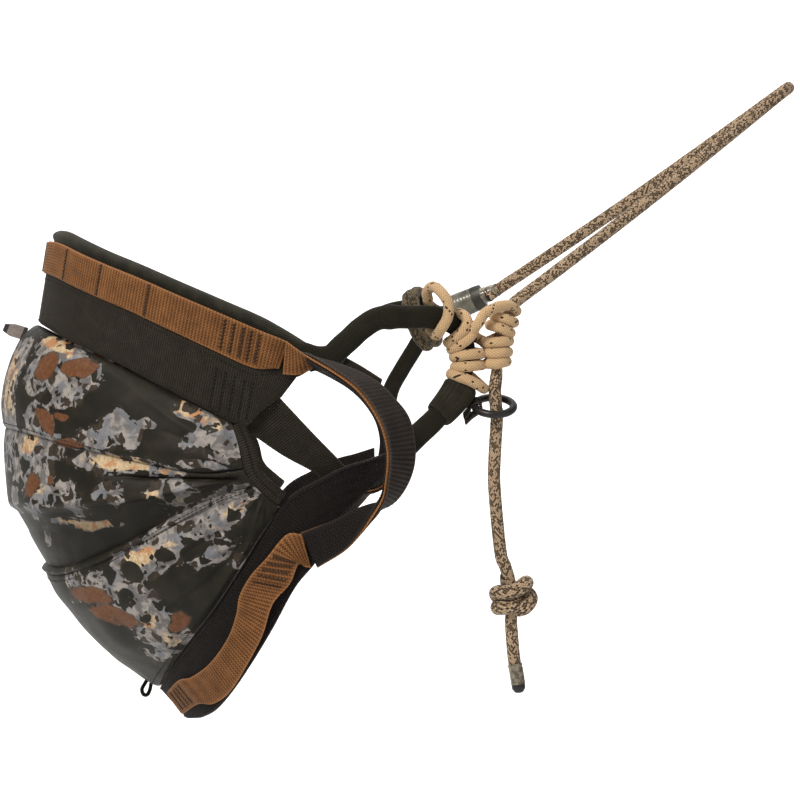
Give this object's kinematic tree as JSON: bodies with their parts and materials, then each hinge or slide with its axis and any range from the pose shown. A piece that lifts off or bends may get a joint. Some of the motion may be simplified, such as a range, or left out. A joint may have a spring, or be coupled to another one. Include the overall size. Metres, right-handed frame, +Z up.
{
  "type": "tree saddle harness",
  "caption": "Sit harness for tree work: padded waist belt and pleated cloth seat on webbing, with side loops and a rope bridge tied with a friction hitch.",
  "frame": {"origin": "inner face of the belt pad at the middle of the back", "axes": "+X towards the wearer's front, +Y towards the wearer's left, +Z up as worn"},
  "size_m": [0.6177, 0.3618, 0.495],
  "materials": {
    "pad_cloth": "matte tight-knit cloth",
    "dark_webbing": "ribbed nylon webbing, slight sheen",
    "brown_webbing": "ribbed nylon webbing",
    "camo_cloth": "printed woven polyester, low sheen",
    "lining_cloth": "open spacer mesh",
    "hitch_cord": "braided polyester sheath",
    "bridge_rope": "braided sheath with dark flecks",
    "clear_sleeve": "smoky heat-shrink tube",
    "black_plastic": "smooth moulded nylon",
    "label_cloth": "woven label tape"
  },
  "bodies": {
    "harness": {"belt_pad": "pad_cloth", "belt_webbing": "dark_webbing", "belt_daisy_chain": "brown_webbing", "seat_panel_upper": "camo_cloth", "seat_panel_middle": "camo_cloth", "seat_panel_lower": "camo_cloth", "seat_lining": "lining_cloth", "near_hip_binding": "pad_cloth", "far_hip_binding": "pad_cloth", "seat_webbing": "dark_webbing", "near_riser": "dark_webbing", "far_riser": "dark_webbing", "near_gear_loop": "brown_webbing", "far_gear_loop": "brown_webbing", "near_bridge_loop": "dark_webbing", "near_loop_sleeve": "dark_webbing", "far_bridge_loop": "dark_webbing", "hitch_loop_wraps": "hitch_cord", "hitch_rope_wraps": "hitch_cord", "hitch_neck": "hitch_cord", "rope_through_hitch": "bridge_rope", "far_rope_hitch": "bridge_rope", "far_eye_sleeve": "clear_sleeve", "far_eye_band": "black_plastic", "far_eye_shrink": "clear_sleeve", "keeper_tab": "dark_webbing", "side_label": "label_cloth", "hem_pull_tab": "pad_cloth"},
    "bridge": {"bridge_rope": "bridge_rope"},
    "tail": {"tail_rope": "bridge_rope", "stopper_knot": "bridge_rope", "tail_end": "bridge_rope", "tail_sleeve": "clear_sleeve", "tail_tip": "black_plastic"},
    "keeper": {"keeper_ring": "black_plastic"},
    "near_side_loop": {"near_lineman_loop": "dark_webbing"},
    "far_side_loop": {"far_lineman_loop": "dark_webbing"}
  },
  "joints": [
    {"name": "bridge_swing", "type": "hinge", "parent": "harness", "child": "bridge", "pos_m": [0.34785, -0.0045, -0.0134], "axis": [-0.0054, -0.995, -0.1001], "range_deg": [-90, 45], "deforming": ["bridge_rope"]},
    {"name": "tail_swing", "type": "hinge", "parent": "harness", "child": "tail", "pos_m": [0.3336, -0.095, -0.1], "axis": [0, -1, 0], "range_deg": [-18, 18]},
    {"name": "keeper_ring_tilt", "type": "hinge", "parent": "harness", "child": "keeper", "pos_m": [0.3178, -0.095, -0.099], "axis": [0, -0.8988, -0.4384], "range_deg": [-12, 10]},
    {"name": "near_side_loop_swing", "type": "hinge", "parent": "harness", "child": "near_side_loop", "pos_m": [0.1752, -0.1475, -0.064], "axis": [0.1261, -0.0463, -0.9909], "range_deg": [0, 60]},
    {"name": "far_side_loop_swing", "type": "hinge", "parent": "harness", "child": "far_side_loop", "pos_m": [0.1752, 0.1475, -0.064], "axis": [-0.1261, -0.0463, 0.9909], "range_deg": [0, 60]}
  ]
}
